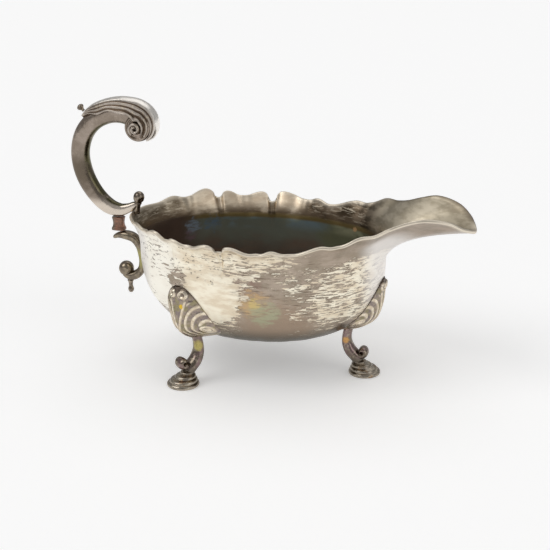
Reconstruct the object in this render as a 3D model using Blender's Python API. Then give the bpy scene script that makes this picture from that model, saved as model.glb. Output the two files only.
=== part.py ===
"""Three-legged silver sauce boat with a wavy rim, a long pouring lip and a flying scroll handle.

The origin is on the table, under the middle of the plan.  +X points along the pouring lip, +Y to
the left of someone who pours away from themselves, and +Z up.  Every piece is one closed solid,
and neighbouring pieces keep a soldering gap of 0.3 mm.
"""
import math

import bmesh
import bpy
import numpy as np
from mathutils import Vector

MM = 0.001
GAP = 0.3

# Bowl, in millimetres: a raised body whose plan is an ellipse at every height up to the neck.
BOWL_MIDDLE_X = -2.7
BOWL_HALF_LENGTH = 58.5
BOWL_HALF_WIDTH = 41.9
BOWL_BOTTOM_Z = 17.3
NECK_Z = 57.0
BELLY_FULLNESS = 3.2
BELLY_ROUNDNESS = 2.3
WALL = 0.9
BELLY_RINGS = 9
FLANGE_RINGS = 6
# The flange's curve: shares of its outward run and its rise at the two pulls between neck and rim.
FLANGE_PULL_UP = (0.02, 0.46)
FLANGE_PULL_OUT = 0.60
FLANGE_LEAN = 0.22
LIP_TROUGH_DEGREES = 14.0

# Rim, one half from the tip of the lip to the handle end: x, half-width, height.
# The highest and lowest points of each scallop are given; the two creases are sharp.
RIM = [
    (96.7, 0.0, 72.9),
    (93.1, 11.0, 76.8),
    (87.3, 16.0, 80.9),
    (77.5, 20.2, 82.7),
    (69.1, 21.3, 80.9),
    (62.5, 23.6, 78.5),
    (57.3, 28.4, 76.6),
    (50.7, 32.6, 76.3),
    (41.8, 36.2, 71.9),
    (34.6, 38.3, 72.6),
    (21.0, 41.9, 68.4),
    (14.0, 44.0, 70.6),
    (7.8, 46.0, 68.5),
    (-5.0, 48.0, 71.8),
    (-9.7, 43.6, 67.4),
    (-15.2, 45.9, 71.4),
    (-25.0, 43.4, 69.0),
    (-33.0, 41.8, 71.6),
    (-36.3, 38.0, 68.7),
    (-42.6, 37.4, 73.2),
    (-50.2, 29.6, 70.5),
    (-55.9, 24.3, 72.0),
    (-60.6, 17.4, 70.4),
    (-65.2, 9.0, 70.3),
    (-67.4, 0.0, 69.7),
]
CREASES = (14, 18)
RIM_STEPS = 2

# Legs: one under the lip, and two spread towards the handle end.
LEG_AXIS_X = -1.6
# Each leg's direction in degrees, the foot's distance out, and the scale of its shell's depth.
LEGS = {
    "front": (0.0, 49.0, 1.0),
    "rear_left": (129.0, 46.0, 1.25),
    "rear_right": (-129.0, 46.0, 1.25),
}
SHAFT_TOP_Z = 21.9
# Shaft centre line: outward distance from the foot's middle, height, half-depth.
SHAFT = [
    (-7.6, 21.9, 1.9),
    (-8.7, 18.4, 2.0),
    (-8.5, 14.6, 2.2),
    (-6.9, 11.0, 2.4),
    (-4.4, 8.2, 2.4),
    (-2.7, 5.9, 2.3),
]
SHAFT_WIDTH_RATIO = 1.15
KNUCKLE = (-1.2, 10.8)
KNUCKLE_RADIUS = 2.7
KNUCKLE_HALF_WIDTH = 2.9
# The roll's stations across the leg: share of the half-width, share of the radius.
KNUCKLE_STATIONS = [(-1.0, 0.45), (-0.8, 0.65), (-0.45, 1.0), (0.45, 1.0), (0.8, 0.65), (1.0, 0.45)]
# Foot steps from the floor up: radius, outward shift of its middle, top height.
FOOT_STEPS = [(7.5, 0.0, 1.9), (6.1, -0.7, 3.8), (4.5, -1.5, 5.5)]
FOOT_EDGE = 0.45
FOOT_SIDES = 24
# Shell knee: height, half-width, outward depth from the bowl wall.
SHELL = [
    (22.3, 4.2, 7.6),
    (24.3, 8.2, 7.9),
    (26.5, 10.8, 7.7),
    (29.5, 11.6, 6.7),
    (34.0, 11.3, 4.9),
    (39.0, 9.9, 3.2),
    (43.2, 7.6, 2.2),
    (46.4, 5.2, 1.7),
    (48.2, 2.6, 1.3),
]
SHELL_SEAT = 0.42
SHELL_EDGE = 0.9
SHELL_KEEL = 1.6
SHELL_COLUMNS = 10

# Handle, all in the plane y = 0.  Upper scroll centre line: x, height, half-depth.
UPPER_SCROLL = [
    (-66.3, 73.2, 1.9),
    (-68.6, 72.0, 2.2),
    (-73.2, 70.8, 3.1),
    (-79.0, 72.3, 3.8),
    (-85.2, 77.8, 4.1),
    (-90.4, 86.8, 4.4),
    (-92.3, 97.0, 4.4),
    (-90.1, 106.4, 4.5),
    (-84.7, 113.2, 4.5),
    (-77.2, 117.2, 4.7),
    (-69.6, 118.2, 5.2),
    (-63.0, 116.6, 5.6),
]
SCROLL_WIDTH_RATIO = 0.86
VOLUTE = (-61.1, 112.1)
VOLUTE_RADIUS = 6.4
VOLUTE_HALF_WIDTH = 5.4
# The rolled end's stations across the handle: share of the half-width, share of the radius.
VOLUTE_STATIONS = [(-1.0, 0.8), (-0.75, 1.0), (0.75, 1.0), (1.0, 0.8)]
VOLUTE_SIDES = 20
# Leaf cap over the top of the scroll: section middle x, height, turn of the section's crown
# in degrees from +X, outer depth from that middle, half-width, half-spread in degrees.
LEAF = [
    (-86.6, 111.2, 128.0, 6.2, 4.6, 20.0),
    (-84.2, 113.6, 122.0, 6.6, 5.2, 50.0),
    (-80.6, 115.8, 113.0, 7.0, 5.9, 72.0),
    (-75.4, 117.6, 101.0, 7.2, 6.5, 77.0),
    (-69.8, 117.6, 90.0, 8.2, 7.1, 78.0),
    (-66.6, 115.9, 76.0, 9.9, 7.7, 76.0),
    (-65.0, 114.0, 56.0, 11.7, 8.1, 76.0),
    (-64.4, 112.9, 30.0, 12.4, 8.2, 76.0),
    (-64.2, 112.2, 4.0, 12.1, 8.1, 76.0),
    (-63.8, 111.9, -22.0, 10.7, 7.6, 74.0),
    (-63.4, 111.6, -48.0, 8.6, 6.6, 64.0),
]
LEAF_INNER_SHARE = 0.55
LEAF_COLUMNS = 12
# Lower scroll centre line, from the spur under the link to the ball.
LOWER_SCROLL = [
    (-77.4, 56.6, 0.8),
    (-74.6, 58.0, 1.4),
    (-70.8, 58.4, 2.1),
    (-66.6, 57.2, 2.1),
    (-64.1, 53.8, 1.8),
    (-63.2, 49.8, 1.5),
    (-62.7, 45.8, 1.5),
    (-63.2, 42.0, 1.8),
    (-65.8, 38.9, 2.2),
    (-69.0, 38.0, 2.1),
]
LOWER_SCROLL_WIDTH_RATIO = 1.35
BALL = (-71.2, 41.4)
BALL_RADIUS = 3.7
BALL_SEGMENTS = 16
BALL_RINGS = 10
LINK_SECTIONS = [(60.9, 3.3), (62.6, 3.0), (64.8, 2.7), (67.1, 2.9)]
LINK_X = -74.2
LINK_WIDTH_RATIO = 0.8
LINK_SIDES = 12
# Beads: foot of the stalk, tip, and the profile along it as (share of length, radius).
BEADS = {
    "leaf_tip_bead": ((-89.5, 117.8), (-92.1, 120.4), [(0.0, 0.8), (0.25, 0.9), (0.6, 1.7), (0.85, 1.4)]),
    "rim_bead": ((-64.7, 69.6), (-63.0, 80.6), [(0.0, 1.0), (0.5, 1.0), (0.75, 2.3), (0.93, 1.7)]),
    "tail_spur": ((-69.3, 35.5), (-69.2, 29.2), [(0.0, 1.5), (0.35, 1.2), (0.7, 1.4), (0.9, 1.0)]),
}
BEAD_ROUND_STEPS = 12
TUBE_SIDES = 14
CREASE_DEGREES = 40.0
WELD_DISTANCE = 1e-6


# ---------------------------------------------------------------- scene, materials, helpers

def clear_scene():
    for thing in list(bpy.data.objects):
        bpy.data.objects.remove(thing, do_unlink=True)


def metal(name, colour, roughness):
    made = bpy.data.materials.new(name)
    made.use_nodes = True
    shader = made.node_tree.nodes["Principled BSDF"]
    shader.inputs["Base Color"].default_value = (*colour, 1.0)
    shader.inputs["Roughness"].default_value = roughness
    shader.inputs["Metallic"].default_value = 1.0
    return made


def bowl_silver():
    return metal("bowl_silver", (0.62, 0.57, 0.50), 0.34)


def shell_silver():
    return metal("shell_silver", (0.50, 0.45, 0.39), 0.36)


def leg_silver():
    return metal("leg_silver", (0.27, 0.24, 0.21), 0.32)


def handle_silver():
    return metal("handle_silver", (0.42, 0.37, 0.32), 0.30)


def link_solder():
    return metal("link_solder", (0.36, 0.22, 0.17), 0.42)


def add_object(name, mesh, material):
    made = bpy.data.objects.new(name, mesh)
    bpy.context.scene.collection.objects.link(made)
    if not mesh.materials:
        mesh.materials.append(material)
    return made


def finish_mesh(name, bm, closed=True):
    if closed:
        bmesh.ops.recalc_face_normals(bm, faces=bm.faces)
    mesh = bpy.data.meshes.new(name)
    bm.to_mesh(mesh)
    bm.free()
    mesh.shade_smooth()
    mesh.set_sharp_from_angle(angle=math.radians(CREASE_DEGREES))
    return mesh


def smooth_line(points, steps, corners=()):
    """Points on a curve through the given ones: a cubic on each span, with the slope at a point
    taken from its two neighbours, and from one side only at a corner or an end."""
    p = np.array(points, float)
    last = len(p) - 1
    chord = np.linalg.norm(np.diff(p, axis=0), axis=1)
    line = [p[0]]
    for i in range(last):
        slope = (p[i + 1] - p[i]) / chord[i]
        leave = arrive = slope
        if i > 0 and i not in corners:
            leave = (p[i + 1] - p[i - 1]) / (chord[i] + chord[i - 1])
        if i + 1 < last and i + 1 not in corners:
            arrive = (p[i + 2] - p[i]) / (chord[i] + chord[i + 1])
        for k in range(1, steps + 1):
            t = k / steps
            rise = 3 * t**2 - 2 * t**3
            start_pull = (t**3 - 2 * t**2 + t) * chord[i]
            end_pull = (t**3 - t**2) * chord[i]
            line.append(p[i] * (1 - rise) + p[i + 1] * rise + leave * start_pull + arrive * end_pull)
    return np.array(line)


def skin_rings(bm, rings, cap_start=True, cap_end=True):
    """Quads between closed rings of points in millimetres, with the end rings filled."""
    loops = [[bm.verts.new(Vector(point) * MM) for point in ring] for ring in rings]
    for lower, upper in zip(loops, loops[1:]):
        for i in range(len(lower)):
            j = (i + 1) % len(lower)
            bm.faces.new((lower[i], lower[j], upper[j], upper[i]))
    if cap_start:
        bm.faces.new(loops[0])
    if cap_end:
        bm.faces.new(loops[-1])
    return loops


def swept_rings(path, width_ratio, sides):
    """Elliptical sections square to a path in the x-z plane.  The path's third value is the
    section's half-depth, and its half-width along y is that times the ratio."""
    path = np.array(path, float)
    ahead = np.gradient(path[:, :2], axis=0)
    ahead /= np.linalg.norm(ahead, axis=1)[:, None]
    rings = []
    for (x, z, depth), (ax, az) in zip(path, ahead):
        ring = []
        for k in range(sides):
            turn = 2 * math.pi * k / sides
            across = depth * math.cos(turn)
            ring.append((x - az * across, depth * width_ratio * math.sin(turn), z + ax * across))
        rings.append(ring)
    return rings


def shape_by(body, tool, operation):
    """Boolean of the body with a tool that stays in the file as a hidden guide."""
    tool.hide_render = True
    tool.display_type = "WIRE"
    step = body.modifiers.new(operation.lower() + "_" + tool.name, "BOOLEAN")
    step.operation = operation
    step.solver = "EXACT"
    step.object = tool


# ---------------------------------------------------------------- bowl

def belly_share(z):
    """Plan size at a height, as a share of the plan at the neck: a superellipse in profile."""
    down = (NECK_Z - z) / (NECK_Z - BOWL_BOTTOM_Z)
    return (1.0 - down**BELLY_ROUNDNESS) ** (1.0 / BELLY_FULLNESS)


def rim_loop():
    """The whole rim.  A mirrored point beyond each end keeps the curve smooth where the two
    halves meet."""
    mirror = np.array([1.0, -1.0, 1.0])
    points = [mirror * RIM[1]] + RIM + [mirror * RIM[-2]]
    corners = [index + 1 for index in CREASES]
    half = smooth_line(points, RIM_STEPS, corners)[RIM_STEPS:-RIM_STEPS]
    return np.vstack([half, half[1:-1][::-1] * mirror])


def bowl_rings():
    rim = rim_loop()
    turn = np.arctan2(rim[:, 1] / BOWL_HALF_WIDTH, (rim[:, 0] - BOWL_MIDDLE_X) / BOWL_HALF_LENGTH)
    plan = np.stack([BOWL_HALF_LENGTH * np.cos(turn), BOWL_HALF_WIDTH * np.sin(turn)], axis=1)
    middle = np.array([BOWL_MIDDLE_X, 0.0])
    rings = []
    for k in range(1, BELLY_RINGS + 1):
        climb = 0.5 * math.pi * k / BELLY_RINGS
        share = math.sin(climb) ** (2.0 / BELLY_FULLNESS)
        z = NECK_Z - (NECK_Z - BOWL_BOTTOM_Z) * math.cos(climb) ** (2.0 / BELLY_ROUNDNESS)
        rings.append(np.column_stack([middle + plan * share, np.full(len(plan), z)]))
    neck = rings[-1]
    # The flange leaves the neck upright and meets the rim leaning out.  It leans up less in
    # the middle of the lip, which gives the lip its trough.
    out = rim[:, :2] - neck[:, :2]
    rise = rim[:, 2] - NECK_Z
    beside = np.clip(np.abs(turn) / math.radians(LIP_TROUGH_DEGREES), 0.0, 1.0)
    lean = FLANGE_LEAN * (3.0 * beside**2 - 2.0 * beside**3)
    pull_up = np.column_stack([neck[:, :2] + FLANGE_PULL_UP[0] * out, NECK_Z + FLANGE_PULL_UP[1] * rise])
    pull_out = np.column_stack([rim[:, :2] - FLANGE_PULL_OUT * out, rim[:, 2] - lean * rise])
    for k in range(1, FLANGE_RINGS + 1):
        t = k / FLANGE_RINGS
        rings.append(
            neck * (1 - t) ** 3
            + pull_up * 3 * t * (1 - t) ** 2
            + pull_out * 3 * t**2 * (1 - t)
            + rim * t**3
        )
    return rings


def bowl():
    bm = bmesh.new()
    loops = skin_rings(bm, bowl_rings(), cap_start=False, cap_end=False)
    bottom = bm.verts.new(Vector((BOWL_MIDDLE_X, 0.0, BOWL_BOTTOM_Z)) * MM)
    first = loops[0]
    for i in range(len(first)):
        bm.faces.new((bottom, first[(i + 1) % len(first)], first[i]))
    body = add_object("bowl", finish_mesh("bowl", bm, closed=False), bowl_silver())
    wall = body.modifiers.new("wall", "SOLIDIFY")
    wall.thickness = WALL * MM
    wall.offset = -1.0
    wall.use_even_offset = True
    return body


# ---------------------------------------------------------------- legs

def wall_distance(turn, side, z):
    """How far the bowl's outer wall is from the legs' common axis, along one leg's direction,
    at a sideways offset and a height: the larger root of the ellipse's equation."""
    share = belly_share(z)
    a = BOWL_HALF_LENGTH * share
    b = BOWL_HALF_WIDTH * share
    c, s = math.cos(turn), math.sin(turn)
    x0 = LEG_AXIS_X - BOWL_MIDDLE_X - side * s
    y0 = side * c
    square = (c / a) ** 2 + (s / b) ** 2
    half = x0 * c / a**2 + y0 * s / b**2
    rest = (x0 / a) ** 2 + (y0 / b) ** 2 - 1.0
    return (-half + math.sqrt(half**2 - square * rest)) / square


def shell_knee(leg, degrees, proud, material):
    """A shell on the bowl wall: rings run up its outer face and back down its inner face."""
    turn = math.radians(degrees)
    bm = bmesh.new()
    rings = []
    for z, half_width, depth in smooth_line(SHELL, 2):
        front = []
        back = []
        for k in range(SHELL_COLUMNS + 1):
            share = 2.0 * k / SHELL_COLUMNS - 1.0
            side = half_width * share
            inner = wall_distance(turn, side, z) + SHELL_SEAT
            crown = 1.0 - abs(share) ** SHELL_KEEL
            outer = inner + SHELL_EDGE + (depth * proud - SHELL_EDGE) * crown
            for line, out in ((front, outer), (back, inner)):
                x = LEG_AXIS_X + out * math.cos(turn) - side * math.sin(turn)
                y = out * math.sin(turn) + side * math.cos(turn)
                line.append((x, y, z))
        rings.append(front + back[::-1])
    skin_rings(bm, rings)
    return add_object(leg + "_shell_knee", finish_mesh(leg + "_shell_knee", bm), material)


def shaft_mesh():
    bm = bmesh.new()
    skin_rings(bm, swept_rings(smooth_line(SHAFT, 3), SHAFT_WIDTH_RATIO, TUBE_SIDES))
    for vert in bm.verts:
        vert.co.z = min(max(vert.co.z, (FOOT_STEPS[-1][2] + GAP) * MM), SHAFT_TOP_Z * MM)
    return finish_mesh("leg_shaft", bm)


def knuckle_mesh():
    """The scroll on the front of the shaft, a short roll across it with rounded ends."""
    bm = bmesh.new()
    rings = []
    for share, scale in KNUCKLE_STATIONS:
        radius = KNUCKLE_RADIUS * scale
        ring = []
        for k in range(TUBE_SIDES):
            turn = 2 * math.pi * (k + 0.5) / TUBE_SIDES
            x = KNUCKLE[0] + radius * math.cos(turn)
            z = KNUCKLE[1] + radius * math.sin(turn)
            ring.append((x, KNUCKLE_HALF_WIDTH * share, z))
        rings.append(ring)
    skin_rings(bm, rings)
    return finish_mesh("leg_knuckle", bm)


def foot_mesh():
    """The stepped hoof: three round steps, each set back towards the ankle."""
    bm = bmesh.new()
    rings = []
    floor = 0.0
    for radius, shift, top in FOOT_STEPS:
        edges = [
            (radius - FOOT_EDGE, floor),
            (radius, floor + FOOT_EDGE),
            (radius, top - FOOT_EDGE),
            (radius - FOOT_EDGE, top),
        ]
        for r, z in edges:
            turns = [2 * math.pi * k / FOOT_SIDES for k in range(FOOT_SIDES)]
            rings.append([(shift + r * math.cos(t), r * math.sin(t), z) for t in turns])
        floor = top
    skin_rings(bm, rings)
    bmesh.ops.remove_doubles(bm, verts=bm.verts, dist=WELD_DISTANCE)
    return finish_mesh("hoof_foot", bm)


def legs():
    shell_metal = shell_silver()
    leg_metal = leg_silver()
    shaft = shaft_mesh()
    knuckle = knuckle_mesh()
    foot = foot_mesh()
    for leg, (degrees, reach, proud) in LEGS.items():
        turn = math.radians(degrees)
        stand = bpy.data.objects.new(leg + "_stand", None)
        bpy.context.scene.collection.objects.link(stand)
        stand.location = ((LEG_AXIS_X + reach * math.cos(turn)) * MM, reach * math.sin(turn) * MM, 0.0)
        stand.rotation_euler = (0.0, 0.0, turn)
        leg_scroll = add_object(leg + "_leg_scroll", shaft, leg_metal)
        roll = add_object(leg + "_knuckle", knuckle, leg_metal)
        hoof = add_object(leg + "_hoof_foot", foot, leg_metal)
        for piece in (leg_scroll, roll, hoof):
            piece.parent = stand
        shape_by(leg_scroll, roll, "UNION")
        shell_knee(leg, degrees, proud, shell_metal)


# ---------------------------------------------------------------- handle

def scroll_bar(name, material, extra=0.0):
    """The tapering bar of the flying scroll, with a little extra depth when it is a cutter."""
    line = smooth_line(UPPER_SCROLL, 3) + (0.0, 0.0, extra)
    bm = bmesh.new()
    skin_rings(bm, swept_rings(line, SCROLL_WIDTH_RATIO, TUBE_SIDES))
    return add_object(name, finish_mesh(name, bm), material)


def volute_roll(name, material, extra=0.0):
    """The rolled end of the scroll, a drum with chamfered rims."""
    bm = bmesh.new()
    rings = []
    for share, scale in VOLUTE_STATIONS:
        turns = [2 * math.pi * (k + 0.5) / VOLUTE_SIDES for k in range(VOLUTE_SIDES)]
        r = VOLUTE_RADIUS * scale + extra
        y = (VOLUTE_HALF_WIDTH + extra) * share
        rings.append([(VOLUTE[0] + r * math.cos(t), y, VOLUTE[1] + r * math.sin(t)) for t in turns])
    skin_rings(bm, rings)
    return add_object(name, finish_mesh(name, bm), material)


def upper_scroll(material):
    """The flying scroll rises from the rim and ends in a rolled volute."""
    bar = scroll_bar("handle_scroll", material)
    shape_by(bar, volute_roll("volute_roll", material), "UNION")


def leaf_cap(material):
    """The acanthus leaf that lies over the scroll like a saddle and rolls down over the volute.
    Each section is an arc about the scroll's middle, and the scroll is cut out of its underside."""
    bm = bmesh.new()
    rings = []
    for x, z, crown, depth, half_width, spread in smooth_line(LEAF, 2):
        crown_turn = math.radians(crown)
        up = (math.cos(crown_turn), math.sin(crown_turn))
        outer = []
        inner = []
        for k in range(LEAF_COLUMNS + 1):
            share = 2.0 * k / LEAF_COLUMNS - 1.0
            arc = math.radians(spread) * share
            for line, reach in ((outer, 1.0), (inner, LEAF_INNER_SHARE)):
                out = reach * depth * math.cos(arc)
                side = reach * half_width * math.sin(arc)
                line.append((x + up[0] * out, side, z + up[1] * out))
        rings.append(outer + inner[::-1])
    skin_rings(bm, rings)
    leaf = add_object("handle_leaf_cap", finish_mesh("handle_leaf_cap", bm), material)
    shape_by(leaf, scroll_bar("scroll_bar_cutter", material, GAP), "DIFFERENCE")
    shape_by(leaf, volute_roll("volute_cutter", material, GAP), "DIFFERENCE")


def link(material):
    """The short pinched block between the two scrolls."""
    bm = bmesh.new()
    rings = []
    for z, radius in LINK_SECTIONS:
        turns = [2 * math.pi * k / LINK_SIDES for k in range(LINK_SIDES)]
        ring = [(LINK_X + radius * math.cos(t), radius * LINK_WIDTH_RATIO * math.sin(t), z) for t in turns]
        rings.append(ring)
    skin_rings(bm, rings)
    add_object("handle_link", finish_mesh("handle_link", bm), material)


def lower_scroll(material):
    """The bracket soldered down the handle end of the bowl; it ends in a ball."""
    bm = bmesh.new()
    line = smooth_line(LOWER_SCROLL, 3)
    skin_rings(bm, swept_rings(line, LOWER_SCROLL_WIDTH_RATIO, TUBE_SIDES))
    bracket = add_object("lower_scroll", finish_mesh("lower_scroll", bm), material)
    bm = bmesh.new()
    bmesh.ops.create_uvsphere(bm, u_segments=BALL_SEGMENTS, v_segments=BALL_RINGS, radius=BALL_RADIUS * MM)
    ball = add_object("lower_scroll_ball", finish_mesh("lower_scroll_ball", bm), material)
    ball.location = (BALL[0] * MM, 0.0, BALL[1] * MM)
    shape_by(bracket, ball, "UNION")


def bead(name, material):
    """A small turned drop: its profile is spun about the line from its stalk's foot to its tip."""
    foot, tip, profile = BEADS[name]
    length = math.dist(foot, tip)
    bm = bmesh.new()
    points = [(0.0, 0.0)] + [(radius, share * length) for share, radius in profile] + [(0.0, length)]
    verts = [bm.verts.new((radius * MM, 0.0, z * MM)) for radius, z in points]
    edges = [bm.edges.new(pair) for pair in zip(verts, verts[1:])]
    bmesh.ops.spin(
        bm,
        geom=verts + edges,
        axis=(0.0, 0.0, 1.0),
        cent=(0.0, 0.0, 0.0),
        steps=BEAD_ROUND_STEPS,
        angle=2 * math.pi,
        use_merge=True,
    )
    bmesh.ops.remove_doubles(bm, verts=bm.verts, dist=WELD_DISTANCE)
    made = add_object(name, finish_mesh(name, bm), material)
    made.location = (foot[0] * MM, 0.0, foot[1] * MM)
    made.rotation_euler = (0.0, math.atan2(tip[0] - foot[0], tip[1] - foot[1]), 0.0)


def handle():
    material = handle_silver()
    upper_scroll(material)
    leaf_cap(material)
    link(link_solder())
    lower_scroll(material)
    for name in BEADS:
        bead(name, material)


clear_scene()
bowl()
legs()
handle()
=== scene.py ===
import math

import bpy
import numpy as np
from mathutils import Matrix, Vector


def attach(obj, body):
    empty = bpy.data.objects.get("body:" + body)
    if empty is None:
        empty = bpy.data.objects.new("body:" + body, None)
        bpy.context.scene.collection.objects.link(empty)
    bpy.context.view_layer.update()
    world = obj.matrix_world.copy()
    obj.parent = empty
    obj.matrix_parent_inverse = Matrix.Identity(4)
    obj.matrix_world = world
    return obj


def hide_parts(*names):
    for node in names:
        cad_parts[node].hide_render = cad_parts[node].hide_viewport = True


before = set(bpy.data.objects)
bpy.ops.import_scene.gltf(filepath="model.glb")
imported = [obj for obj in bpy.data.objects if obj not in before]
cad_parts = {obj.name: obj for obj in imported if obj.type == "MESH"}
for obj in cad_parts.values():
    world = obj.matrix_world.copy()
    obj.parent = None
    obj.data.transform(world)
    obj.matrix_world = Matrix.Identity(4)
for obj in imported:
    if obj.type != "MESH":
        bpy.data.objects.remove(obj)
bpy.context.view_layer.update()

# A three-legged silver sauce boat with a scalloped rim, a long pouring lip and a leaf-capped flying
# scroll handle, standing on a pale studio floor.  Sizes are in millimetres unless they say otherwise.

# ---------------------------------------------------------------- bowl
# The bowl is one sheet of silver raised by hammer, with the flange and the pouring lip drawn out
# of the same sheet.  The rim is cut into scallops, with two sharp notches a side, and its edge is
# left thick and rounded.  Tarnish lies on it in brown-grey streaks between bright worn patches.
MM = 0.001
BOWL_MIDDLE_X = -2.7
BOWL_HALF_LENGTH = 58.5
BOWL_HALF_WIDTH = 41.9
BOWL_BOTTOM_Z = 17.3
NECK_Z = 57.0
BELLY_FULLNESS = 3.2
BELLY_ROUNDNESS = 2.3
SHEET = 0.9
RIM_THICKNESS = 1.7
RIM_INSET = 0.1
WIDEST_RIM = 47.5
# One half of the rim from the lip's tip to the handle: x, half-width, height.
RIM = [
    (96.7, 0.0, 72.9), (93.1, 11.0, 76.8), (87.3, 16.0, 80.9), (77.5, 20.2, 82.7),
    (69.1, 21.3, 80.9), (62.5, 23.6, 78.5), (57.3, 28.4, 76.6), (50.7, 32.6, 76.3),
    (41.8, 36.2, 71.9), (34.6, 38.3, 72.6), (21.0, 41.9, 68.4), (14.0, 44.0, 70.6),
    (7.8, 46.0, 68.5), (-5.0, 48.0, 71.8), (-9.7, 43.6, 67.4), (-15.2, 45.9, 71.4),
    (-25.0, 43.4, 69.0), (-33.0, 41.8, 71.6), (-36.3, 38.0, 68.7), (-42.6, 37.4, 73.2),
    (-50.2, 29.6, 70.5), (-55.9, 24.3, 72.0), (-60.6, 17.4, 70.4), (-65.2, 9.0, 70.3),
    (-67.4, 0.0, 69.7),
]
NOTCHES = (14, 18)
RIM_STEPS = 10
BELLY_ROWS = 46
FLANGE_ROWS = 34
# Rows of the belly are set closer together towards the bottom.
BELLY_CROWDING = 1.25
# The flange leaves the neck upright and comes to the rim rising, but level in the lip's trough.
# Pulls are shares of the run out and the rise from the neck to the rim.
PULL_UP = (0.02, 0.46)
PULL_OUT = 0.60
FLANGE_LEAN = 0.22
LIP_TROUGH_DEGREES = 14.0
# Fold lines that run down from the rim: the rim point they start at, depth, width.
FOLDS = [
    (14, 1.3, 1.5), (18, 1.3, 1.5), (12, 0.8, 2.2), (16, 0.8, 2.2), (10, 0.6, 2.6), (20, 0.7, 2.0),
    (8, 0.5, 2.6),
]
FOLD_LENGTH = 7.0
# Between the scallops' crests the flange is pressed in: how much for each millimetre the rim dips
# below its mean over a span of rim points, to what dip, and how far down.
HOLLOW = 0.22
HOLLOW_DIP = 2.5
HOLLOW_LENGTH = 9.0
HOLLOW_SPAN = 18
# Height of the two waves that hammering leaves, and the distance from the middle where they are full.
HAMMER_WAVES = (0.07, 0.05)
HAMMER_FULL_AT = 30.0
# The edge swells out, and the sheet thickens to it, over these distances down from the rim.
EDGE_SWELL = 0.28
EDGE_SWELL_LENGTH = 1.3
THICKENING_LENGTH = 1.6
RUBBED_LENGTH = 1.5
EDGE_ROLL_DEGREES = [30.0, 60.0, 90.0, 120.0, 150.0]


def smooth_line(points, steps, corners=()):
    """Points on a curve through the given ones.  Each span is a cubic whose end slopes follow the
    chord between the neighbours, or the span's own chord at an end or a corner."""
    p = np.array(points, float)
    chord = np.linalg.norm(np.diff(p, axis=0), axis=1)[:, None]
    own = np.diff(p, axis=0) / chord
    shared = (p[2:] - p[:-2]) / (chord[1:] + chord[:-1])
    leave = np.vstack([own[:1], shared])
    arrive = np.vstack([shared, own[-1:]])
    for i in corners:
        leave[i] = own[i]
        arrive[i - 1] = own[i - 1]
    t = np.arange(steps)[None, :, None] / steps
    rise = 3 * t**2 - 2 * t**3
    line = p[:-1, None] * (1 - rise) + p[1:, None] * rise
    line += leave[:, None] * (t**3 - 2 * t**2 + t) * chord[:, None]
    line += arrive[:, None] * (t**3 - t**2) * chord[:, None]
    return np.vstack([line.reshape(-1, p.shape[1]), p[-1:]])


def unit(vectors):
    """The vectors scaled to length one."""
    return vectors / np.maximum(np.linalg.norm(vectors, axis=-1, keepdims=True), 1e-9)


def outward(grid):
    """Unit normals of a grid that closes round its columns: the cross product of the step to the
    next column and the step to the next row."""
    across = np.roll(grid, -1, axis=1) - np.roll(grid, 1, axis=1)
    return unit(np.cross(across, np.gradient(grid, axis=0)))


def add_piece(name, grids, finish, node):
    """One object from one or more closed grids of (points, marks).  Each grid is rows x columns x 3:
    quads join neighbouring points round and along it, fans close both ends on their mean points,
    and the faces are turned over if the volume they enclose comes out negative.  A mark is one
    value a point, kept for the material."""
    points, faces, marks = [], [], {}
    base = 0
    for grid, grid_marks in grids:
        rows, columns = grid.shape[:2]
        ends = np.stack([grid[0].mean(axis=0), grid[-1].mean(axis=0)])
        own = np.vstack([grid.reshape(-1, 3), ends])
        index = np.arange(rows * columns).reshape(rows, columns)
        ahead = np.roll(index, -1, axis=1)
        quads = np.stack([index[:-1], ahead[:-1], ahead[1:], index[1:]], axis=-1).reshape(-1, 4)
        first = np.stack([np.full(columns, rows * columns), ahead[0], index[0]], axis=-1)
        last = np.stack([np.full(columns, rows * columns + 1), index[-1], ahead[-1]], axis=-1)
        corners = np.vstack([quads[:, :3], quads[:, [0, 2, 3]], first, last])
        a, b, c = (own[corners[:, k]] for k in range(3))
        if np.einsum("ij,ij->i", a, np.cross(b, c)).sum() < 0:
            quads, first, last = quads[:, ::-1], first[:, ::-1], last[:, ::-1]
        points.append(own)
        for part in (quads, first, last):
            faces += (part + base).tolist()
        for key, values in grid_marks.items():
            full = np.concatenate([values.reshape(-1), [values[0].mean(), values[-1].mean()]])
            marks.setdefault(key, []).append(full)
        base += len(own)
    mesh = bpy.data.meshes.new(name)
    mesh.from_pydata((np.vstack(points) * MM).tolist(), [], faces)
    for key, values in marks.items():
        layer = mesh.attributes.new(key, "FLOAT", "POINT")
        layer.data.foreach_set("value", np.concatenate(values).astype(np.float32))
    mesh.shade_smooth()
    mesh.materials.append(finish)
    piece = bpy.data.objects.new(name, mesh)
    bpy.context.scene.collection.objects.link(piece)
    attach(piece, "root")
    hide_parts(node)


def tone(red, green, blue):
    """A colour as the eye sees it, 0 to 255, turned into the linear light the shader works in."""
    return tuple((value / 255.0) ** 2.2 for value in (red, green, blue)) + (1.0,)


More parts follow.
